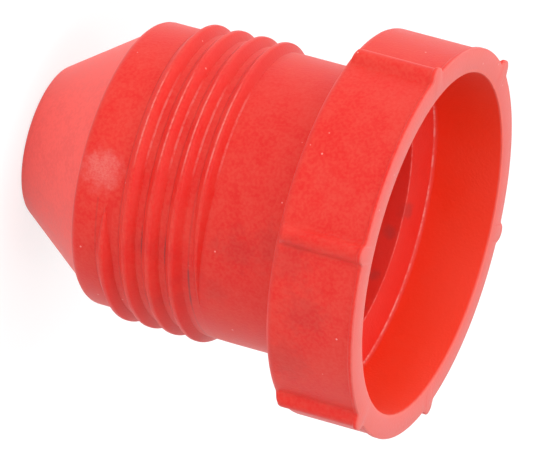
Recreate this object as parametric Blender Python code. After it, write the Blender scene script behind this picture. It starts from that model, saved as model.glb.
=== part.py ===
"""Threaded fitting plug, moulded in one piece from red polyethylene.

A hollow plug for a flared tube fitting with a 7/8-14 thread. It stands on its flat nose at the
origin, with its axis along +Z and the open mouth of its ribbed head at the top. One grip rib points
along +X.
"""
import math

import bmesh
import bpy

MM = 0.001

# Nose: a blunt cone that ends in the edge of the plain land
NOSE_LENGTH = 6.2 * MM
NOSE_HALF_ANGLE = math.radians(35.0)
NOSE_EDGE_ROUND = 0.75 * MM

# Land: the plain cylinder in front of the thread
LAND_DIAMETER = 20.8 * MM
LAND_LENGTH = 1.9 * MM
LAND_EDGE_ROUND = 0.7 * MM

# Thread: one right-handed ridge with a narrow flat crest and a flat root
THREAD_DIAMETER = 22.1 * MM
THREAD_PITCH = 1.8143 * MM  # 14 turns to an inch
THREAD_TURNS = 4.12
THREAD_START_HEIGHT = 0.74 * MM
THREAD_END_HEIGHT = 0.8565 * MM
THREAD_CREST_WIDTH = 0.32 * MM
THREAD_ROOT_WIDTH = 0.5 * MM
THREAD_START_ANGLE = math.radians(308.6)
THREAD_RUN_IN = math.radians(24.0)
THREAD_RUN_OUT = math.radians(60.0)

# Shank: the plain cylinder between the thread and the head
SHANK_DIAMETER = 21.1 * MM
SHANK_LENGTH = 5.8 * MM
SHANK_FILLET = 0.25 * MM

# Head: a short cup with low rounded grip ribs
HEAD_DIAMETER = 28.2 * MM
HEAD_LENGTH = 6.75 * MM
HEAD_EDGE_ROUND = 0.55 * MM
HEAD_WALL = 1.65 * MM
RIM_LIP_HEIGHT = 0.14 * MM
RIM_LIP_LENGTH = 0.45 * MM
MOUTH_EDGE_ROUND = 0.1 * MM
RIB_COUNT = 6
RIB_HEIGHT = 0.72 * MM
RIB_WIDTH = 1.3 * MM
RIB_FOOT_ROUND = 0.35 * MM

# Hollow: the cup inside the head, and the tapered bore that ends behind the nose
CUP_DEPTH = 5.2 * MM
CUP_DRAFT = 0.08 * MM
CUP_CORNER_ROUND = 0.35 * MM
CUP_FLOOR_FALL = 0.65 * MM
BORE_MOUTH_WALL = 0.85 * MM
BORE_DRAFT = 0.35 * MM
NOSE_WALL = 1.1 * MM

# Facets: along a rounded edge, on a rib, between two ribs, and around the round parts
ROUND_STEPS = 3
RIB_FOOT_STEPS = 2
RIB_TOP_STEPS = 2
GAP_STEPS = 7
ROUND_COLUMNS = 72
COLUMN_ANGLE = 2 * math.pi / ROUND_COLUMNS
SMOOTH_ANGLE = math.radians(32.0)

# Sizes that follow from the ones above
NOSE_BASE_RADIUS = LAND_DIAMETER / 2 - LAND_EDGE_ROUND
NOSE_TIP_RADIUS = NOSE_BASE_RADIUS - NOSE_LENGTH * math.tan(NOSE_HALF_ANGLE)
LAND_TOP = NOSE_LENGTH + LAND_LENGTH
THREAD_LENGTH = THREAD_START_HEIGHT + THREAD_TURNS * THREAD_PITCH + THREAD_END_HEIGHT
THREAD_TOP = LAND_TOP + THREAD_LENGTH
HEAD_BASE = THREAD_TOP + SHANK_LENGTH
TOTAL_LENGTH = HEAD_BASE + HEAD_LENGTH
HEAD_RADIUS = HEAD_DIAMETER / 2
MOUTH_RADIUS = HEAD_RADIUS - HEAD_WALL
CUP_FOOT_RADIUS = MOUTH_RADIUS - CUP_DRAFT
CUP_FLOOR = TOTAL_LENGTH - CUP_DEPTH
BORE_MOUTH = CUP_FLOOR - CUP_FLOOR_FALL
BORE_MOUTH_RADIUS = SHANK_DIAMETER / 2 - BORE_MOUTH_WALL
BORE_FOOT_RADIUS = BORE_MOUTH_RADIUS - BORE_DRAFT

PLASTIC_COLOUR = (0.83, 0.07, 0.045, 1.0)
PLASTIC_ROUGHNESS = 0.42


def clear_scene():
    """Remove what the open file already holds."""
    for old in list(bpy.data.objects):
        bpy.data.objects.remove(old, do_unlink=True)


def red_plastic():
    """Satin red polyethylene."""
    material = bpy.data.materials.new("red_plastic")
    material.use_nodes = True
    shader = material.node_tree.nodes["Principled BSDF"]
    shader.inputs["Base Color"].default_value = PLASTIC_COLOUR
    shader.inputs["Roughness"].default_value = PLASTIC_ROUGHNESS
    shader.inputs["Metallic"].default_value = 0.0
    return material


def arc(centre, radius, start, end, steps):
    """Points (radius, height) along a round edge, both ends included."""
    points = []
    for i in range(steps + 1):
        angle = start + (end - start) * i / steps
        points.append((centre[0] + radius * math.cos(angle), centre[1] + radius * math.sin(angle)))
    return points


def rib_outline():
    """Height of one rib against the distance from its middle line, from its crest to its foot.

    A round top meets the head in a small hollow round, and the two circles touch.
    """
    top = RIB_WIDTH / 2
    top_centre = RIB_HEIGHT - top
    foot = min(RIB_FOOT_ROUND, RIB_HEIGHT)
    foot_centre = math.sqrt((top + foot) ** 2 - (foot - top_centre) ** 2)
    touch = math.atan2(foot - top_centre, foot_centre)
    points = []
    for i in range(RIB_TOP_STEPS + 1):
        angle = math.pi / 2 + (touch - math.pi / 2) * i / RIB_TOP_STEPS
        points.append((top * math.cos(angle), top_centre + top * math.sin(angle)))
    for i in range(1, RIB_FOOT_STEPS + 1):
        angle = touch + (math.pi / 2 - touch) * i / RIB_FOOT_STEPS
        points.append((foot_centre - foot * math.cos(angle), foot - foot * math.sin(angle)))
    return points


def grip_outline():
    """Angle and rib height of each point around the head, with the ribs evenly spaced."""
    half = [(math.asin(x / HEAD_RADIUS), height) for x, height in rib_outline()]
    foot_angle = half[-1][0]
    sector = 2 * math.pi / RIB_COUNT
    gap = (sector - 2 * foot_angle) / GAP_STEPS
    one = [(-angle, height) for angle, height in reversed(half[1:])]
    one += half
    one += [(foot_angle + gap * i, 0.0) for i in range(1, GAP_STEPS)]
    return [(rib * sector + angle, height) for rib in range(RIB_COUNT) for angle, height in one]


def nose_profile():
    """Outer skin from the flat nose up to the start of the thread: (radius, height)."""
    turn = math.pi / 2 - NOSE_HALF_ANGLE
    flat = NOSE_TIP_RADIUS - NOSE_EDGE_ROUND * math.tan(turn / 2)
    nose_edge = (flat, NOSE_EDGE_ROUND)
    points = arc(nose_edge, NOSE_EDGE_ROUND, -math.pi / 2, -math.pi / 2 + turn, ROUND_STEPS)
    # The land's edge stands out from the cone in a quarter round
    land_edge = (NOSE_BASE_RADIUS, NOSE_LENGTH + LAND_EDGE_ROUND)
    points += arc(land_edge, LAND_EDGE_ROUND, -math.pi / 2, 0.0, ROUND_STEPS)
    points.append((LAND_DIAMETER / 2, LAND_TOP))
    return points


def shank_profile():
    """Outer skin from the end of the thread to the foot of the head: (radius, height)."""
    fillet = (SHANK_DIAMETER / 2 + SHANK_FILLET, HEAD_BASE - SHANK_FILLET)
    points = [(SHANK_DIAMETER / 2, THREAD_TOP)]
    points += arc(fillet, SHANK_FILLET, math.pi, math.pi / 2, ROUND_STEPS - 1)
    return points


def head_profile():
    """Outer skin of the head, which the ribs stand on: (radius, height)."""
    back_edge = (HEAD_RADIUS - HEAD_EDGE_ROUND, HEAD_BASE + HEAD_EDGE_ROUND)
    lip_radius = HEAD_RADIUS + RIM_LIP_HEIGHT
    points = arc(back_edge, HEAD_EDGE_ROUND, -math.pi / 2, 0.0, ROUND_STEPS)
    points.append((HEAD_RADIUS, TOTAL_LENGTH - RIM_LIP_LENGTH))
    points.append((lip_radius, TOTAL_LENGTH - RIM_LIP_LENGTH + RIM_LIP_HEIGHT))
    points.append((lip_radius, TOTAL_LENGTH))
    return points


def hollow_profile():
    """Inner skin from the mouth down to the end of the bore: (radius, height)."""
    mouth_edge = (MOUTH_RADIUS + MOUTH_EDGE_ROUND, TOTAL_LENGTH - MOUTH_EDGE_ROUND)
    points = arc(mouth_edge, MOUTH_EDGE_ROUND, math.pi / 2, math.pi, ROUND_STEPS - 1)
    # The cup's corner, then its floor, which falls towards the bore
    slope = math.atan2(CUP_FLOOR_FALL, CUP_FOOT_RADIUS - BORE_MOUTH_RADIUS)
    corner = (CUP_FOOT_RADIUS - CUP_CORNER_ROUND, CUP_FLOOR + CUP_CORNER_ROUND)
    points += arc(corner, CUP_CORNER_ROUND, 0.0, -math.pi / 2 + slope, ROUND_STEPS)
    points.append((BORE_MOUTH_RADIUS, BORE_MOUTH))
    # The bore ends in a cone that leaves the nose an even wall
    wall_across = NOSE_WALL / math.cos(NOSE_HALF_ANGLE)
    cone_start = (BORE_FOOT_RADIUS - NOSE_TIP_RADIUS + wall_across) / math.tan(NOSE_HALF_ANGLE)
    end_radius = NOSE_TIP_RADIUS + NOSE_WALL * math.tan(NOSE_HALF_ANGLE) - wall_across
    points.append((BORE_FOOT_RADIUS, cone_start))
    points.append((end_radius, NOSE_WALL))
    return points


def add_ring(shell, radius, height):
    """One closed round ring of points."""
    ring = []
    for step in range(ROUND_COLUMNS):
        angle = step * COLUMN_ANGLE
        ring.append(shell.verts.new((radius * math.cos(angle), radius * math.sin(angle), height)))
    return ring


def add_ribbed_ring(shell, radius, height):
    """One closed ring of points that follows the ribs."""
    ring = []
    for angle, rib in grip_outline():
        reach = radius + rib
        ring.append(shell.verts.new((reach * math.cos(angle), reach * math.sin(angle), height)))
    return ring


def skin(shell, rings):
    """Faces between each ring and the next."""
    for lower, upper in zip(rings, rings[1:]):
        for i in range(len(lower)):
            j = (i + 1) % len(lower)
            shell.faces.new((lower[i], lower[j], upper[j], upper[i]))


def bridge(shell, first, second):
    """Flat face between a round ring and a ribbed one, which have different numbers of points."""
    edges = []
    for ring in (first, second):
        edges += [shell.edges.get((ring[i - 1], ring[i])) for i in range(len(ring))]
    bmesh.ops.bridge_loops(shell, edges=edges)


def body_radius(height):
    """Radius of the slightly tapered body that carries the thread."""
    share = (height - LAND_TOP) / THREAD_LENGTH
    return (LAND_DIAMETER + (SHANK_DIAMETER - LAND_DIAMETER) * share) / 2


def ridge_section(shell, angle):
    """Four points across the ridge: lower foot, both edges of the crest, upper foot.

    Before the thread's start and past its end they fall together in one point on the body.
    """
    travel = angle - THREAD_START_ANGLE
    left = 2 * math.pi * THREAD_TURNS - travel
    share = min(travel / THREAD_RUN_IN, left / THREAD_RUN_OUT, 1.0)
    height = LAND_TOP + THREAD_START_HEIGHT + THREAD_PITCH * travel / (2 * math.pi)
    surface = body_radius(height)
    crest = surface + (THREAD_DIAMETER / 2 - surface) * share
    foot_half = (THREAD_PITCH - THREAD_ROOT_WIDTH) / 2 * share
    crest_half = THREAD_CREST_WIDTH / 2 * share
    points = [(surface, -foot_half), (crest, -crest_half), (crest, crest_half), (surface, foot_half)]
    if share <= 0.0:
        points = [(surface, 0.0)]
    corners = []
    for radius, offset in points:
        place = (radius * math.cos(angle), radius * math.sin(angle), height + offset)
        corners.append(shell.verts.new(place))
    return corners * 4 if share <= 0.0 else corners


def add_thread(shell, base, top):
    """The helical ridge, its flat root, and the body's skin between them and the rings."""
    end_angle = THREAD_START_ANGLE + 2 * math.pi * THREAD_TURNS
    first = math.floor(THREAD_START_ANGLE / COLUMN_ANGLE)
    last = math.ceil(end_angle / COLUMN_ANGLE)
    ridge = {step: ridge_section(shell, step * COLUMN_ANGLE) for step in range(first, last + 1)}

    def add_face(*corners):
        shell.faces.new(list(dict.fromkeys(corners)))

    for step in range(first, last):
        here, ahead = ridge[step], ridge[step + 1]
        for low in range(3):
            add_face(here[low], ahead[low], ahead[low + 1], here[low + 1])
    for step in range(first, last - ROUND_COLUMNS):
        above, above_ahead = ridge[step + ROUND_COLUMNS], ridge[step + ROUND_COLUMNS + 1]
        add_face(ridge[step][3], ridge[step + 1][3], above_ahead[0], above[0])
    # Under the first turn; its last face also holds the point where the ridge starts
    for step in range(first, first + ROUND_COLUMNS):
        left, right = base[step % ROUND_COLUMNS], base[(step + 1) % ROUND_COLUMNS]
        start = [ridge[first][0]] if step == first + ROUND_COLUMNS - 1 else []
        add_face(left, right, *start, ridge[step + 1][0], ridge[step][0])
    # Over the last turn; its first face also holds the point where the ridge ends
    for step in range(last - ROUND_COLUMNS, last):
        left, right = top[step % ROUND_COLUMNS], top[(step + 1) % ROUND_COLUMNS]
        end = [ridge[last][3]] if step == last - ROUND_COLUMNS else []
        add_face(ridge[step][3], ridge[step + 1][3], right, left, *end)


def plug_mesh():
    """One closed skin: up the outside from the nose, over the rim and down into the bore."""
    shell = bmesh.new()
    nose = [add_ring(shell, *point) for point in nose_profile()]
    shank = [add_ring(shell, *point) for point in shank_profile()]
    head = [add_ribbed_ring(shell, *point) for point in head_profile()]
    hollow = [add_ring(shell, *point) for point in hollow_profile()]
    for rings in (nose, shank, head, hollow):
        skin(shell, rings)
    add_thread(shell, nose[-1], shank[0])
    bridge(shell, shank[-1], head[0])
    bridge(shell, head[-1], hollow[0])
    shell.faces.new(list(reversed(nose[0])))
    shell.faces.new(hollow[-1])
    bmesh.ops.recalc_face_normals(shell, faces=shell.faces)
    mesh = bpy.data.meshes.new("threaded_plug")
    shell.to_mesh(mesh)
    shell.free()
    return mesh


def build():
    clear_scene()
    mesh = plug_mesh()
    mesh.materials.append(red_plastic())
    mesh.shade_smooth()
    mesh.set_sharp_from_angle(angle=SMOOTH_ANGLE)
    plug = bpy.data.objects.new("threaded_plug", mesh)
    bpy.context.scene.collection.objects.link(plug)


build()
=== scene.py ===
import math

import bmesh
import bpy
from mathutils import Matrix, Vector


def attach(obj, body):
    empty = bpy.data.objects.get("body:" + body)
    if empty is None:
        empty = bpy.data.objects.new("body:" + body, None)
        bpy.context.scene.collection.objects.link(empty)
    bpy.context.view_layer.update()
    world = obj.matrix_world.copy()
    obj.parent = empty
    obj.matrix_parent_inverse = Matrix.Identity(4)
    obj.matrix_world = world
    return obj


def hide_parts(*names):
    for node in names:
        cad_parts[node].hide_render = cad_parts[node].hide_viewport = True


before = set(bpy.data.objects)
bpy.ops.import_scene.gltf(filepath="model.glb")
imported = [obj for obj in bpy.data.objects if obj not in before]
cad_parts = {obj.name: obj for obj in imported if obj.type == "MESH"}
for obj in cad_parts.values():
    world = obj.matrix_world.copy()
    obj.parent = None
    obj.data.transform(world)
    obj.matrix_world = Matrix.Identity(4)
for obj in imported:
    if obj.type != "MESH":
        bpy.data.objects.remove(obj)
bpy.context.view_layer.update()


# The moulding's round shell: nose cone, land, shank, head, cup and bore.
# One thin-walled shot of red polyethylene, drawn here as its mould was turned: a disc the size of
# the flat nose is extruded ring by ring up the outside, over the rim and down into the bore.
MM = 0.001
COLUMNS = 720
NOSE_RADIUS = 5.359 * MM
CONE_RADIUS = 9.7 * MM
CONE_Z = 6.2 * MM
LAND_RADIUS = 10.4 * MM
THREAD_LOW_Z = 8.1 * MM
THREAD_HIGH_Z = 17.1714 * MM
SHANK_RADIUS = 10.55 * MM
SHOULDER_Z = 22.9714 * MM
HEAD_RADIUS = 14.1 * MM
RIM_Z = 29.7214 * MM
LIP_RADIUS = HEAD_RADIUS + 0.14 * MM
LIP_Z = RIM_Z - 0.31 * MM
MOUTH_RADIUS = 12.45 * MM
CUP_RADIUS = MOUTH_RADIUS - 0.08 * MM
CUP_FLOOR_Z = 24.5214 * MM
BORE_RADIUS = 9.7 * MM
BORE_Z = CUP_FLOOR_Z - 0.65 * MM
BORE_END_RADIUS = BORE_RADIUS - 0.35 * MM
BORE_END_Z = 7.618 * MM
HOLLOW_RADIUS = 4.786 * MM
NOSE_WALL = 1.1 * MM

# Each corner of the section from the nose's edge to the end of the bore: radius, height, rounding
SECTION = (
    (NOSE_RADIUS, 0.0, 0.75 * MM),
    (CONE_RADIUS, CONE_Z, 0.04 * MM),
    (LAND_RADIUS, CONE_Z, 0.65 * MM),
    (LAND_RADIUS, THREAD_LOW_Z, 0.0),
    (SHANK_RADIUS, THREAD_HIGH_Z, 0.0),
    (SHANK_RADIUS, SHOULDER_Z, 0.25 * MM),
    (HEAD_RADIUS, SHOULDER_Z, 0.55 * MM),
    (HEAD_RADIUS, SHOULDER_Z + 0.62 * MM, 0.0),
    (HEAD_RADIUS, SHOULDER_Z + 0.72 * MM, 0.0),
    (HEAD_RADIUS, SHOULDER_Z + 0.85 * MM, 0.0),
    (HEAD_RADIUS, LIP_Z - 0.14 * MM, 0.06 * MM),
    (LIP_RADIUS, LIP_Z, 0.05 * MM),
    (LIP_RADIUS, RIM_Z, 0.05 * MM),
    (MOUTH_RADIUS, RIM_Z, 0.1 * MM),
    (CUP_RADIUS, CUP_FLOOR_Z, 0.35 * MM),
    (BORE_RADIUS, BORE_Z, 0.12 * MM),
    (BORE_END_RADIUS, BORE_END_Z, 0.3 * MM),
    (HOLLOW_RADIUS, NOSE_WALL, 0.3 * MM),
)
SMALL_ROUNDING = 0.2 * MM
NEAR = 0.002 * MM


def pick(obj, kind, wanted):
    """In edit mode, select the vertices or edges of obj that wanted() says yes to."""
    bpy.ops.mesh.select_mode(type=kind)
    bpy.ops.mesh.select_all(action="DESELECT")
    shape = bmesh.from_edit_mesh(obj.data)
    for thing in {"VERT": shape.verts, "EDGE": shape.edges}[kind]:
        if wanted(thing):
            thing.select_set(True)
    shape.select_flush_mode()
    bmesh.update_edit_mesh(obj.data)


def radius_of(point):
    return math.hypot(point.x, point.y)


bpy.ops.object.select_all(action="DESELECT")
bpy.ops.mesh.primitive_circle_add(vertices=COLUMNS, radius=NOSE_RADIUS, fill_type="NGON")
plug = bpy.context.object
plug.name = "threaded_plug_moulding"
bpy.ops.object.mode_set(mode="EDIT")
bpy.ops.mesh.select_all(action="SELECT")
for (radius, height, _), (next_radius, next_height, _) in zip(SECTION, SECTION[1:]):
    share = next_radius / radius
    bpy.ops.mesh.extrude_region_move(TRANSFORM_OT_translate={"value": (0.0, 0.0, next_height - height)})
    bpy.ops.transform.resize(value=(share, share, 1.0), center_override=(0.0, 0.0, next_height))

# The corners are rounded one by one, each to its own radius
for before, corner, after in zip((SECTION[0], *SECTION), SECTION, SECTION[1:] + SECTION[-1:]):
    radius, height, rounding = corner
    if not rounding:
        continue
    arriving = Vector((radius - before[0], height - before[1]))
    leaving = Vector((after[0] - radius, after[1] - height))
    if before == corner:
        arriving = Vector((1.0, 0.0))
    if after == corner:
        leaving = Vector((-1.0, 0.0))
    turn = arriving.angle(leaving)

    def on_corner(edge):
        return all(
            abs(vert.co.z - height) < NEAR and abs(radius_of(vert.co) - radius) < NEAR
            for vert in edge.verts
        )

    pick(plug, "EDGE", on_corner)
    steps = 2 if rounding < SMALL_ROUNDING else 5
    bpy.ops.mesh.bevel(
        offset_type="OFFSET", offset=rounding * math.tan(turn / 2), segments=steps, profile=0.5,
        affect="EDGES", clamp_overlap=False,
    )
bpy.ops.object.mode_set(mode="OBJECT")


# The six grip ribs that stand on the head, moulded with it.
# Each has a half-round top and a small hollow round at both feet. It starts a little in front of the
# head's back edge, with a rounded end, and runs through the lip to the rim.
RIB_COUNT = 6
RIB_HEIGHT = 0.72 * MM
RIB_TOP_ROUND = 0.65 * MM
RIB_FOOT_ROUND = 0.35 * MM
RIB_SETBACK = 0.28 * MM
RIB_END = 0.80 * MM
HEAD_SKIN = HEAD_RADIUS - 0.6 * MM


def rib_height(across):
    """Height of a rib at a distance from its middle line."""
    top_centre = RIB_HEIGHT - RIB_TOP_ROUND
    rounds = RIB_TOP_ROUND + RIB_FOOT_ROUND
    foot_centre = math.sqrt(rounds**2 - (RIB_FOOT_ROUND - top_centre) ** 2)
    touch = foot_centre * RIB_TOP_ROUND / rounds
    if across < touch:
        return top_centre + math.sqrt(RIB_TOP_ROUND**2 - across**2)
    if across < foot_centre:
        return RIB_FOOT_ROUND - math.sqrt(RIB_FOOT_ROUND**2 - (foot_centre - across) ** 2)
    return 0.0


def columns_from_rib(point):
    """How many columns of points away the nearest rib's middle line is."""
    columns_a_rib = COLUMNS / RIB_COUNT
    column = math.atan2(point.y, point.x) / (2 * math.pi) * COLUMNS
    return round(abs((column + columns_a_rib / 2) % columns_a_rib - columns_a_rib / 2))


bpy.ops.object.mode_set(mode="EDIT")
back_rings = sorted({
    round(vert.co.z, 7) for vert in bmesh.from_edit_mesh(plug.data).verts
    if radius_of(vert.co) > HEAD_SKIN and vert.co.z < SHOULDER_Z + RIB_END
})
ends = [(low, low, (low - SHOULDER_Z) / RIB_END) for low in back_rings]
for low, high, share in [*ends, (SHOULDER_Z + RIB_END, RIM_Z, 1.0)]:
    fullness = max(share - RIB_SETBACK / RIB_END, 0.0) / (1.0 - RIB_SETBACK / RIB_END)
    fullness = math.sqrt(1.0 - (1.0 - fullness) ** 2)
    step = 0
    rise = rib_height(0.0)
    while rise * fullness > 0.0:
        def on_rib(vert):
            at_height = low - 0.001 * MM < vert.co.z < high + 0.001 * MM
            return radius_of(vert.co) > HEAD_SKIN and at_height and columns_from_rib(vert.co) == step

        share = (HEAD_RADIUS + rise * fullness) / HEAD_RADIUS
        pick(plug, "VERT", on_rib)
        bpy.ops.transform.resize(value=(share, share, 1.0), center_override=(0.0, 0.0, 0.0))
        step += 1
        rise = rib_height(HEAD_RADIUS * 2 * math.pi * step / COLUMNS)
bpy.ops.mesh.select_all(action="SELECT")
bpy.ops.mesh.normals_make_consistent(inside=False)
bpy.ops.object.mode_set(mode="OBJECT")


# The external thread: one right-hand ridge of just over four turns, moulded with the shell.
# Its crest is narrow and flat with rounded edges, its root is flat, and it grows slightly wider
# towards the head. It rises out of the body in a short run-in and sinks back over a longer one.
THREAD_PITCH = 1.8143 * MM
THREAD_TURNS = 4.12
THREAD_FIRST_Z = THREAD_LOW_Z + 0.74 * MM
THREAD_LOW_RADIUS = 11.0 * MM
THREAD_HIGH_RADIUS = 11.12 * MM
CREST_HALF = 0.16 * MM
FLANK_RUN = 0.5 * MM
CREST_ROUND = 0.09 * MM
FOOT_DEPTH = 0.06 * MM
SEAT_DEPTH = 0.35 * MM
STEPS_A_TURN = 240
THREAD_START = math.radians(308.6)
RUN_IN = math.radians(24.0)
RUN_OUT = math.radians(60.0)
LEAST_RIDGE = 0.03
SHARPEST_SMOOTH_EDGE = math.radians(32.0)


def body_radius(height):
    share = (height - THREAD_LOW_Z) / (THREAD_HIGH_Z - THREAD_LOW_Z)
    return LAND_RADIUS + (SHANK_RADIUS - LAND_RADIUS) * share


bpy.ops.object.select_all(action="DESELECT")
bpy.ops.mesh.primitive_circle_add(vertices=6, radius=CREST_HALF, fill_type="NOTHING")
ridge = bpy.context.object
ridge.name = "thread_ridge"
foot_radius = body_radius(THREAD_FIRST_Z) - FOOT_DEPTH
flank_height = THREAD_LOW_RADIUS - foot_radius
foot_half = CREST_HALF + FLANK_RUN * flank_height / (flank_height - FOOT_DEPTH)
profile = (
    (THREAD_LOW_RADIUS, CREST_HALF),
    (foot_radius, foot_half),
    (foot_radius - SEAT_DEPTH, CREST_HALF),
    (foot_radius - SEAT_DEPTH, -CREST_HALF),
    (foot_radius, -foot_half),
    (THREAD_LOW_RADIUS, -CREST_HALF),
)
for vert, (radius, offset) in zip(ridge.data.vertices, profile):
    vert.co = (radius, 0.0, THREAD_FIRST_Z + offset)
bpy.ops.object.mode_set(mode="EDIT")
pick(ridge, "VERT", lambda vert: vert.co.x > THREAD_LOW_RADIUS - 0.01 * MM)
bpy.ops.mesh.bevel(offset=CREST_ROUND, segments=4, profile=0.5, affect="VERTICES")
bpy.ops.object.mode_set(mode="OBJECT")
screw = ridge.modifiers.new("turns", "SCREW")
screw.axis = "Z"
screw.angle = 2 * math.pi * THREAD_TURNS
screw.screw_offset = THREAD_PITCH * THREAD_TURNS
screw.iterations = 1
screw.steps = round(STEPS_A_TURN * THREAD_TURNS)
screw.render_steps = screw.steps
bpy.ops.object.modifier_apply(modifier="turns")
bpy.ops.object.mode_set(mode="EDIT")
bpy.ops.mesh.select_all(action="SELECT")
bpy.ops.mesh.fill_holes(sides=0)
bpy.ops.mesh.normals_make_consistent(inside=False)
bpy.ops.object.mode_set(mode="OBJECT")

# The ridge follows the body's slight taper, its crest grows, and it fades at both ends
for vert in ridge.data.vertices:
    angle = math.atan2(vert.co.y, vert.co.x) % (2 * math.pi)
    turns = round((vert.co.z - THREAD_FIRST_Z) / THREAD_PITCH - angle / (2 * math.pi))
    travel = angle + 2 * math.pi * turns
    centre = THREAD_FIRST_Z + THREAD_PITCH * travel / (2 * math.pi)
    share = min(travel / RUN_IN, (2 * math.pi * THREAD_TURNS - travel) / RUN_OUT, 1.0)
    share = max(share, LEAST_RIDGE)
    foot = body_radius(centre) - FOOT_DEPTH
    progress = (centre - THREAD_FIRST_Z) / (THREAD_PITCH * THREAD_TURNS)
    crest = THREAD_LOW_RADIUS + (THREAD_HIGH_RADIUS - THREAD_LOW_RADIUS) * progress
    radius = radius_of(vert.co)
    height = (radius - foot_radius) / flank_height
    if height > 0.0:
        radius = foot + (crest - foot) * height * share
    else:
        radius += foot - foot_radius
    offset = (vert.co.z - centre) * share
    vert.co = (radius * math.cos(angle), radius * math.sin(angle), centre + offset)
ridge.data.transform(Matrix.Rotation(THREAD_START, 4, "Z"))

union = plug.modifiers.new("thread", "BOOLEAN")
union.operation = "UNION"
union.solver = "EXACT"
union.object = ridge
bpy.ops.object.select_all(action="DESELECT")
bpy.context.view_layer.objects.active = plug
plug.select_set(True)
bpy.ops.object.modifier_apply(modifier="thread")
bpy.data.objects.remove(ridge, do_unlink=True)
bpy.ops.object.shade_smooth_by_angle(angle=SHARPEST_SMOOTH_EDGE)


# The plastic: satin red polyethylene, slightly translucent, with a fine moulded grain.
# It is mottled from handling and paler in patches. It has a few white specks, a scuffed patch on the land
# that also carries a painted highlight, and grey dirt in the thread and the bore.
# Light and shade are painted into it too: painted light on the cone, a painted reflection on the rim, and
# painted highlights on the thread's edges on one side and round the cup's floor.
# The cup's wall is painted brighter as painted light, and there is painted shade on one flank, in the
# thread's root and in the bore.
PLASTIC_RED = (0.78, 0.010, 0.004, 1.0)
PLASTIC_PALE = (0.80, 0.060, 0.037, 1.0)
# Painted light: a paler red for the cone
CONE_PAINTED_LIGHT_RED = (0.99, 0.120, 0.100, 1.0)
# Painted light and shade: a brighter copy of the red for the cup's wall and a darker one for the bore
CUP_PAINTED_LIGHT_RED = (0.87, 0.034, 0.003, 1.0)
BORE_PAINTED_SHADE_RED = (0.70, 0.017, 0.007, 1.0)
# Pink for scuffs, and for painted highlights and a painted reflection
SCUFF_AND_HIGHLIGHT_PINK = (0.86, 0.36, 0.32, 1.0)
SPECK_WHITE = (0.95, 0.62, 0.56, 1.0)
# Grey for dirt, and for painted shade in the thread's root
DIRT_AND_SHADE_GREY = (0.20, 0.040, 0.040, 1.0)

# How much of each finish, and of each painted light, highlight or shade, shows, from 0 to 1
MOTTLE_SHARE = 0.75
FLANK_SHADE_SHARE = 0.45
INSIDE_LIGHT_AND_SHADE_SHARE = 0.85
RIM_REFLECTION_SHARE = 0.30
FOOT_SHARE = 0.9
SCUFF_AND_SHINE_SHARE = 0.50
ROOT_SHADE_SHARE = 0.15
ROOT_DIRT_SHARE = 0.45
FILM_SHARE = 0.09
GRIME_SHARE = 0.14
BORE_DIRT_SHARE = 0.30
MOST_DIRT = 0.8
SPECK_SHARE = 0.45

# The side on which the thread's edges carry painted highlights
GLINT_SIDE = (0.03, -1.0, 0.0)
# Patches on the surface, in mm: azimuth in degrees, height, distance from the axis, reach
FRAYED = 1.3
LAND_SCUFF_AND_SHINE_PATCHES = ((298.0, 8.3, 10.4, 1.35), (295.0, 7.4, 10.4, 1.0), (297.5, 8.1, 10.4, 2.1))
THREAD_DIRT = (
    (322.0, 11.9, 10.6, 1.3), (323.0, 13.7, 10.6, 1.6), (333.0, 15.6, 10.6, 1.8), (349.0, 12.8, 10.8, 1.3),
    (343.0, 15.3, 10.8, 1.5), (20.0, 15.5, 10.6, 0.8), (335.0, 17.6, 10.6, 1.5), (315.0, 17.5, 10.7, 1.0),
)
SHANK_AND_HEAD_GRIME = (
    (309.0, 21.8, 10.6, 2.4), (314.0, 19.3, 10.6, 2.2), (307.0, 24.4, 14.1, 2.4), (340.0, 24.5, 14.1, 2.6),
    (322.0, 26.0, 14.1, 2.4),
)
BORE_DIRT = (
    (92.0, 23.0, 9.65, 0.8), (122.0, 24.0, 10.2, 0.9), (112.0, 23.2, 9.65, 0.7), (75.0, 23.3, 9.65, 0.5),
)


def new_group(name, inputs, outputs):
    """A shader node group with named float or vector sockets, and its two end nodes."""
    group = bpy.data.node_groups.new(name, "ShaderNodeTree")
    kinds = {"float": "NodeSocketFloat", "vector": "NodeSocketVector"}
    for label, kind in inputs:
        group.interface.new_socket(label, in_out="INPUT", socket_type=kinds[kind])
    for label, kind in outputs:
        group.interface.new_socket(label, in_out="OUTPUT", socket_type=kinds[kind])
    return group, group.nodes.new("NodeGroupInput"), group.nodes.new("NodeGroupOutput")


def fill(tree, socket, value):
    """Link another node's output to a socket, or set the socket's own value."""
    if isinstance(value, bpy.types.NodeSocket):
        tree.links.new(value, socket)
    else:
        socket.default_value = value


def calc(tree, operation, *values):
    """A Math node; returns its result."""
    node = tree.nodes.new("ShaderNodeMath")
    node.operation = operation
    for socket, value in zip(node.inputs, values):
        fill(tree, socket, value)
    return node.outputs[0]


def product(tree, *factors):
    """All the factors, multiplied together."""
    total = factors[0]
    for factor in factors[1:]:
        total = calc(tree, "MULTIPLY", total, factor)
    return total


def along(tree, place, direction):
    """How far a place lies in a direction."""
    node = tree.nodes.new("ShaderNodeVectorMath")
    node.operation = "DOT_PRODUCT"
    fill(tree, node.inputs[0], place)
    fill(tree, node.inputs[1], direction)
    return node.outputs["Value"]


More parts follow.
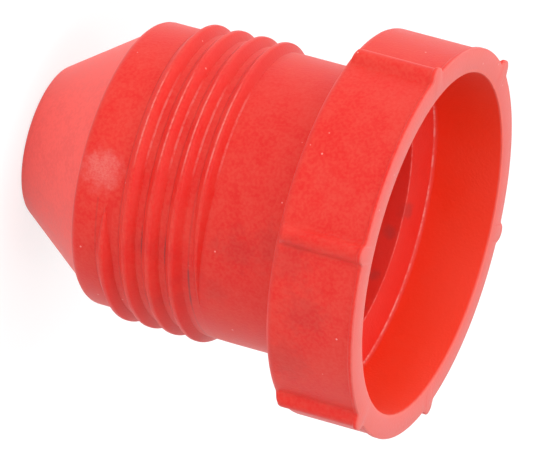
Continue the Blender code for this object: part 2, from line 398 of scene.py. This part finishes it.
def ramp(tree, value, low, high, start=0.0, end=1.0):
    """A smooth step: start below low, end above high."""
    node = tree.nodes.new("ShaderNodeMapRange")
    node.interpolation_type = "SMOOTHSTEP"
    fill(tree, node.inputs["Value"], value)
    fill(tree, node.inputs["From Min"], low)
    fill(tree, node.inputs["From Max"], high)
    fill(tree, node.inputs["To Min"], start)
    fill(tree, node.inputs["To Max"], end)
    return node.outputs[0]


def line_at(tree, value, centre, near, far, share=1.0):
    """A soft line where a value is close to a centre: full within near, gone beyond far."""
    gap = calc(tree, "ABSOLUTE", calc(tree, "SUBTRACT", value, centre))
    return ramp(tree, gap, near, far, share, 0.0)


def noise(tree, place, scale, detail=2.0, roughness=0.5):
    node = tree.nodes.new("ShaderNodeTexNoise")
    fill(tree, node.inputs["Vector"], place)
    node.inputs["Scale"].default_value = scale
    node.inputs["Detail"].default_value = detail
    node.inputs["Roughness"].default_value = roughness
    return node.outputs["Fac"]


def blend(tree, amount, first, second):
    """A Mix node for colours; returns its result."""
    node = tree.nodes.new("ShaderNodeMix")
    node.data_type = "RGBA"
    fill(tree, node.inputs[0], amount)
    fill(tree, node.inputs[6], first)
    fill(tree, node.inputs[7], second)
    return node.outputs[2]


# Grain: the mottling, the fine relief and the specks; the place comes in millimetres
grain, entry, result = new_group(
    "moulded_grain", [("Place", "vector")], [("Mottle", "float"), ("Relief", "float"), ("Specks", "float")]
)
place = entry.outputs["Place"]
broad = product(grain, noise(grain, place, 0.30, 2.0, 0.55), 0.6)
middle = product(grain, noise(grain, place, 1.1, 2.0, 0.6), 0.4)
cloud = product(grain, ramp(grain, calc(grain, "ADD", broad, middle), 0.38, 0.62), 0.5)
fine = product(grain, ramp(grain, noise(grain, place, 4.2, 1.0, 0.5), 0.32, 0.68), 0.5)
fill(grain, result.inputs["Mottle"], calc(grain, "ADD", cloud, fine))
fill(grain, result.inputs["Relief"], noise(grain, place, 5.5, 2.0, 0.6))
cells = grain.nodes.new("ShaderNodeTexVoronoi")
cells.inputs["Scale"].default_value = 0.75
fill(grain, cells.inputs["Vector"], place)
chance = grain.nodes.new("ShaderNodeSeparateColor")
fill(grain, chance.inputs[0], cells.outputs["Color"])
speck = ramp(grain, cells.outputs["Distance"], 0.035, 0.07, 1.0, 0.0)
fill(grain, result.inputs["Specks"], product(grain, speck, ramp(grain, chance.outputs[0], 0.55, 0.6)))

# Thread lines: where a point lies across the ridge, from one crest's middle to the next
lines, entry, result = new_group(
    "thread_lines", [("Place", "vector")],
    [("Crest edge", "float"), ("Foot edge", "float"), ("Root", "float"), ("Flank", "float")],
)
parts = lines.nodes.new("ShaderNodeSeparateXYZ")
fill(lines, parts.inputs[0], entry.outputs["Place"])
bearing = calc(lines, "ARCTAN2", parts.outputs["Y"], parts.outputs["X"])
bearing = calc(lines, "FLOORED_MODULO", calc(lines, "SUBTRACT", bearing, THREAD_START), 2 * math.pi)
rise = calc(lines, "SUBTRACT", parts.outputs["Z"], THREAD_FIRST_Z / MM)
pitches = calc(lines, "DIVIDE", rise, THREAD_PITCH / MM)
pitches = calc(lines, "SUBTRACT", pitches, calc(lines, "DIVIDE", bearing, 2 * math.pi))
low_end = ramp(lines, pitches, -0.45, -0.38)
high_end = ramp(lines, parts.outputs["Z"], THREAD_HIGH_Z / MM - 0.8, THREAD_HIGH_Z / MM - 0.2, 1.0, 0.0)
zone = product(lines, low_end, high_end)
across = calc(lines, "FLOORED_MODULO", pitches, 1.0)
for label, centre, reach in (("Crest edge", 0.965, 0.055), ("Foot edge", 0.33, 0.05), ("Root", 0.64, 0.06)):
    band = line_at(lines, across, centre, reach * 0.25, reach)
    fill(lines, result.inputs[label], product(lines, band, zone))
flank = product(lines, ramp(lines, across, 0.02, 0.10), ramp(lines, across, 0.30, 0.36, 1.0, 0.0))
fill(lines, result.inputs["Flank"], product(lines, flank, zone))

# Soft spot: a rounded patch around one place on the surface, frayed by noise
spot, entry, result = new_group(
    "soft_spot", [("Place", "vector"), ("Centre", "vector"), ("Reach", "float"), ("Fray", "float")],
    [("Mask", "float")],
)
away = spot.nodes.new("ShaderNodeVectorMath")
away.operation = "DISTANCE"
fill(spot, away.inputs[0], entry.outputs["Place"])
fill(spot, away.inputs[1], entry.outputs["Centre"])
ragged = calc(spot, "SUBTRACT", noise(spot, entry.outputs["Place"], 1.4, 3.0, 0.6), 0.5)
ragged = product(spot, ragged, entry.outputs["Fray"])
reached = calc(spot, "DIVIDE", away.outputs["Value"], entry.outputs["Reach"])
fill(spot, result.inputs["Mask"], ramp(spot, calc(spot, "ADD", reached, ragged), 0.15, 1.0, 1.0, 0.0))

plastic = bpy.data.materials.new("satin_red_plastic")
plastic.use_nodes = True
tree = plastic.node_tree
shader = tree.nodes["Principled BSDF"]
coordinates = tree.nodes.new("ShaderNodeTexCoord")
in_mm = tree.nodes.new("ShaderNodeVectorMath")
in_mm.operation = "SCALE"
in_mm.inputs["Scale"].default_value = 1.0 / MM
fill(tree, in_mm.inputs[0], coordinates.outputs["Object"])
place = in_mm.outputs[0]


def use_group(group, **values):
    node = tree.nodes.new("ShaderNodeGroup")
    node.node_tree = group
    for label, value in values.items():
        fill(tree, node.inputs[label], value)
    return node


def spots(fray, patches):
    """The union of the soft spots at these patches."""
    total = 0.0
    for azimuth, height, radius, reach in patches:
        turn = math.radians(azimuth)
        centre = (radius * math.cos(turn), radius * math.sin(turn), height)
        mask = use_group(spot, Place=place, Centre=centre, Reach=reach, Fray=fray).outputs["Mask"]
        total = calc(tree, "MAXIMUM", total, mask)
    return total


grained = use_group(grain, Place=place)
threaded = use_group(lines, Place=place)
parts = tree.nodes.new("ShaderNodeSeparateXYZ")
fill(tree, parts.inputs[0], place)
height = parts.outputs["Z"]
x_squared = calc(tree, "POWER", parts.outputs["X"], 2.0)
y_squared = calc(tree, "POWER", parts.outputs["Y"], 2.0)
axis_distance = calc(tree, "SQRT", calc(tree, "ADD", x_squared, y_squared))
outside = ramp(tree, axis_distance, 10.15, 10.3)

colour = blend(tree, product(tree, grained.outputs["Mottle"], MOTTLE_SHARE), PLASTIC_RED, PLASTIC_PALE)
# Painted shade: the crest and the flank facing the head are painted darker red
colour = blend(tree, product(tree, threaded.outputs["Flank"], FLANK_SHADE_SHARE), colour, PLASTIC_RED)

# The cup and the bore are smoother than the outside. The cup's wall is painted a brighter red as painted
# light, and the cup's floor and the bore a darker red as painted shade
wall_middle = ramp(tree, height, SHOULDER_Z / MM, SHOULDER_Z / MM + 0.7, 10.1, 12.75)
inside = ramp(tree, calc(tree, "SUBTRACT", wall_middle, axis_distance), 0.0, 0.15)
in_cup = ramp(tree, height, CUP_FLOOR_Z / MM - 0.05, CUP_FLOOR_Z / MM + 0.35)
inside_light_and_shade = blend(tree, in_cup, BORE_PAINTED_SHADE_RED, CUP_PAINTED_LIGHT_RED)
colour = blend(tree, product(tree, inside, INSIDE_LIGHT_AND_SHADE_SHARE), colour, inside_light_and_shade)

# Painted highlights: two pale broken glints run round the cup's floor, at the bore's edge and at the foot
# of the wall
bore_edge = line_at(tree, axis_distance, BORE_RADIUS / MM + 0.06, 0.01, 0.07, 0.5)
wall_foot = line_at(tree, axis_distance, MOUTH_RADIUS / MM - 0.22, 0.01, 0.10)
at_floor = product(tree, ramp(tree, height, 23.5, 23.6), ramp(tree, height, 24.6, 24.75, 1.0, 0.0))
glints = ramp(tree, noise(tree, place, 1.6, 2.0, 0.6), 0.42, 0.64, 0.12, 0.5)
painted_glint_lines = product(tree, calc(tree, "MAXIMUM", bore_edge, wall_foot), at_floor, glints, inside)
colour = blend(tree, painted_glint_lines, colour, SCUFF_AND_HIGHLIGHT_PINK)

# Painted light: the cone is painted paler than the land above it, in mottled patches, and the flat rim is
# painted paler too
cone_slope = math.tan(math.radians(35.0))
cone_radius = calc(tree, "MULTIPLY_ADD", height, cone_slope, NOSE_RADIUS / MM)
on_cone = ramp(tree, calc(tree, "SUBTRACT", axis_distance, cone_radius), -0.4, -0.2)
below_land = ramp(tree, height, CONE_Z / MM - 0.1, CONE_Z / MM + 0.1, 1.0, 0.0)
mottled = ramp(tree, grained.outputs["Mottle"], 0.1, 0.9, 0.72, 0.94)
colour = blend(tree, product(tree, on_cone, below_land, mottled), colour, CONE_PAINTED_LIGHT_RED)
# Painted reflection: the flat rim is painted pale pink
on_rim = ramp(tree, height, RIM_Z / MM - 0.20, RIM_Z / MM - 0.05)
colour = blend(tree, product(tree, on_rim, RIM_REFLECTION_SHARE), colour, SCUFF_AND_HIGHLIGHT_PINK)

# Painted highlights: the thread's crest and foot edges are painted pale on one side, about 40 degrees wide,
# in broken lines
foot_edge = product(tree, threaded.outputs["Foot edge"], FOOT_SHARE)
edges = calc(tree, "MAXIMUM", threaded.outputs["Crest edge"], foot_edge)
facing_glint_side = calc(tree, "DIVIDE", along(tree, place, GLINT_SIDE), axis_distance)
glint_side = ramp(tree, facing_glint_side, 0.92, 0.99, 0.02, 0.42)
broken = ramp(tree, noise(tree, place, 2.6, 2.0, 0.6), 0.32, 0.60, 0.35, 1.0)
colour = blend(tree, product(tree, edges, outside, glint_side, broken), colour, SCUFF_AND_HIGHLIGHT_PINK)
# A scuffed patch on the land, painted pale as scuff and as painted highlight together
weave = product(tree, noise(tree, place, 7.0, 2.0, 0.7), 1.1)
colour = blend(tree, product(tree, spots(1.0, LAND_SCUFF_AND_SHINE_PATCHES), weave, SCUFF_AND_SHINE_SHARE), colour, SCUFF_AND_HIGHLIGHT_PINK)

# The thread's root is painted darker all round as painted shade, and darker still where dirt has settled in
# it; a thin film of dirt lies on the shank, head and bore
dirt = spots(FRAYED, THREAD_DIRT)
rooted = product(tree, threaded.outputs["Root"], outside)
dirt_and_root_shade = product(tree, rooted, calc(tree, "MULTIPLY_ADD", dirt, ROOT_DIRT_SHARE, ROOT_SHADE_SHARE))
dirt_and_root_shade = calc(tree, "MULTIPLY_ADD", dirt, FILM_SHARE, dirt_and_root_shade)
dirt_and_root_shade = calc(tree, "MULTIPLY_ADD", spots(FRAYED, SHANK_AND_HEAD_GRIME), GRIME_SHARE, dirt_and_root_shade)
dirt_and_root_shade = calc(tree, "MULTIPLY_ADD", spots(FRAYED, BORE_DIRT), BORE_DIRT_SHARE, dirt_and_root_shade)
colour = blend(tree, calc(tree, "MINIMUM", dirt_and_root_shade, MOST_DIRT), colour, DIRT_AND_SHADE_GREY)
specks = product(tree, grained.outputs["Specks"], outside, SPECK_SHARE)
colour = blend(tree, specks, colour, SPECK_WHITE)

fill(tree, shader.inputs["Base Color"], colour)
fill(tree, shader.inputs["Roughness"], ramp(tree, grained.outputs["Mottle"], 0.0, 1.0, 0.42, 0.52))
shader.inputs["Specular IOR Level"].default_value = 0.34
shader.inputs["Sheen Weight"].default_value = 0.06
shader.inputs["Sheen Roughness"].default_value = 0.45
shader.inputs["Subsurface Weight"].default_value = 0.15
shader.inputs["Subsurface Radius"].default_value = (1.0, 0.25, 0.15)
shader.inputs["Subsurface Scale"].default_value = 0.8 * MM
bump = tree.nodes.new("ShaderNodeBump")
bump.inputs["Strength"].default_value = 0.35
bump.inputs["Distance"].default_value = 0.05 * MM
fill(tree, bump.inputs["Height"], grained.outputs["Relief"])
fill(tree, shader.inputs["Normal"], bump.outputs["Normal"])
plug.data.materials.clear()
plug.data.materials.append(plastic)

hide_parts("threaded_plug")
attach(plug, "root")


# The floor: a plain white sheet under the plug, wide enough for every view.
# The camera, gloss and glass see it as a white backdrop that keeps the plug's soft shadow; other
# rays see plain white paper.
PAPER_WHITE = (0.9, 0.9, 0.9, 1.0)
SHADOW_GREY = (0.35, 0.35, 0.35, 1.0)
SHEET_GLOW = 0.76


def show_white(tree, output, plain, white):
    """On an output node: plain, but white for the rays of the camera, of gloss and of glass."""
    rays = tree.nodes.new("ShaderNodeLightPath")
    mirrored = calc(tree, "MAXIMUM", rays.outputs["Is Glossy Ray"], rays.outputs["Is Transmission Ray"])
    seen = calc(tree, "MAXIMUM", rays.outputs["Is Camera Ray"], mirrored)
    choice = tree.nodes.new("ShaderNodeMixShader")
    fill(tree, choice.inputs[0], seen)
    fill(tree, choice.inputs[1], plain.outputs[0])
    fill(tree, choice.inputs[2], white.outputs[0])
    fill(tree, output.inputs["Surface"], choice.outputs[0])


bpy.ops.object.select_all(action="DESELECT")
bpy.ops.mesh.primitive_plane_add(size=30.0)
floor = bpy.context.object
floor.name = "floor"
sheet = bpy.data.materials.new("white_sheet")
sheet.use_nodes = True
sheet_tree = sheet.node_tree
sheet_tree.nodes.clear()
paper = sheet_tree.nodes.new("ShaderNodeBsdfDiffuse")
paper.inputs["Color"].default_value = PAPER_WHITE
faint = sheet_tree.nodes.new("ShaderNodeBsdfDiffuse")
faint.inputs["Color"].default_value = SHADOW_GREY
glow = sheet_tree.nodes.new("ShaderNodeEmission")
glow.inputs["Strength"].default_value = SHEET_GLOW
glowing = sheet_tree.nodes.new("ShaderNodeAddShader")
fill(sheet_tree, glowing.inputs[0], faint.outputs[0])
fill(sheet_tree, glowing.inputs[1], glow.outputs[0])
show_white(sheet_tree, sheet_tree.nodes.new("ShaderNodeOutputMaterial"), paper, glowing)
floor.data.materials.append(sheet)


# The light: a white room, brighter on the side that the photograph has at its top, and four large
# soft lamps around the plug and over it. The one on the picture's lower side is slightly blue.
WHITE = (1.0, 1.0, 1.0)
COOL_WHITE = (0.88, 0.94, 1.0)
BRIGHT_SIDE = (-0.865, -0.435, 0.25)
ROOM_STRENGTH = (("From Min", -0.9), ("From Max", 0.9), ("To Min", 0.12), ("To Max", 0.97))
LAMP_DISTANCE = 0.4
PLUG_CENTRE = Vector((0.0, 0.0, 15.0 * MM))

world = bpy.data.worlds.new("white_room")
bpy.context.scene.world = world
world.use_nodes = True
world_tree = world.node_tree
world_tree.nodes.clear()
room = world_tree.nodes.new("ShaderNodeBackground")
room.inputs["Color"].default_value = (*WHITE, 1.0)
coordinates = world_tree.nodes.new("ShaderNodeTexCoord")
strength = world_tree.nodes.new("ShaderNodeMapRange")
for label, value in ROOM_STRENGTH:
    strength.inputs[label].default_value = value
fill(world_tree, strength.inputs["Value"], along(world_tree, coordinates.outputs["Generated"], BRIGHT_SIDE))
fill(world_tree, room.inputs["Strength"], strength.outputs[0])
backdrop = world_tree.nodes.new("ShaderNodeBackground")
backdrop.inputs["Color"].default_value = (*WHITE, 1.0)
show_white(world_tree, world_tree.nodes.new("ShaderNodeOutputWorld"), room, backdrop)


def away_from(azimuth, elevation):
    """The direction away from the plug; azimuth 0 is -Y, and it grows towards +X."""
    turn = math.radians(azimuth)
    lift = math.radians(elevation)
    return Vector((math.sin(turn) * math.cos(lift), -math.cos(turn) * math.cos(lift), math.sin(lift)))


def add_lamp(name, azimuth, elevation, size, power, color=WHITE):
    """A square soft lamp that faces the plug."""
    away = away_from(azimuth, elevation)
    bpy.ops.object.light_add(type="AREA", location=PLUG_CENTRE + away * LAMP_DISTANCE)
    lamp = bpy.context.object
    lamp.name = name
    lamp.rotation_euler = (-away).to_track_quat("-Z", "Y").to_euler()
    lamp.data.size = size
    lamp.data.energy = power
    lamp.data.color = color


add_lamp("top_lamp", -70.0, 25.0, 0.32, 0.27)
add_lamp("front_lamp", 5.0, 25.0, 0.30, 0.30)
add_lamp("side_lamp", 72.0, 25.0, 0.30, 0.24, COOL_WHITE)
add_lamp("overhead_lamp", 20.0, 72.0, 0.30, 0.58)


# The camera, at the photograph's viewing angle: it looks down into the cup and is rolled, so that
# the plug's axis lies across the picture with the head on the right.
CAMERA_AZIMUTH = 21.6
CAMERA_ELEVATION = 18.96
CAMERA_ROLL = 105.34
CAMERA_DISTANCE = 563.2 * MM
CAMERA_LENS = 540.3
MOUTH_CENTRE = Vector((0.0, 0.0, RIM_Z - 0.125 * MM))
# Where the mouth's centre lies in the picture, counted from the picture's centre
MM_A_PIXEL = 0.0704
MOUTH_RIGHT = 165.5 * MM_A_PIXEL * MM
MOUTH_DOWN = 13.1 * MM_A_PIXEL * MM

back = away_from(CAMERA_AZIMUTH, CAMERA_ELEVATION)
level = (-back).to_track_quat("-Z", "Y").to_matrix()
facing = level @ Matrix.Rotation(math.radians(CAMERA_ROLL), 3, "Z")
right = facing.col[0]
up = facing.col[1]
location = MOUTH_CENTRE - right * MOUTH_RIGHT + up * MOUTH_DOWN + back * CAMERA_DISTANCE
bpy.ops.object.camera_add(location=location, rotation=facing.to_euler())
camera = bpy.context.object
camera.data.lens = CAMERA_LENS
camera.data.clip_end = 100.0
bpy.context.scene.camera = camera
bpy.context.scene.view_settings.view_transform = "Standard"
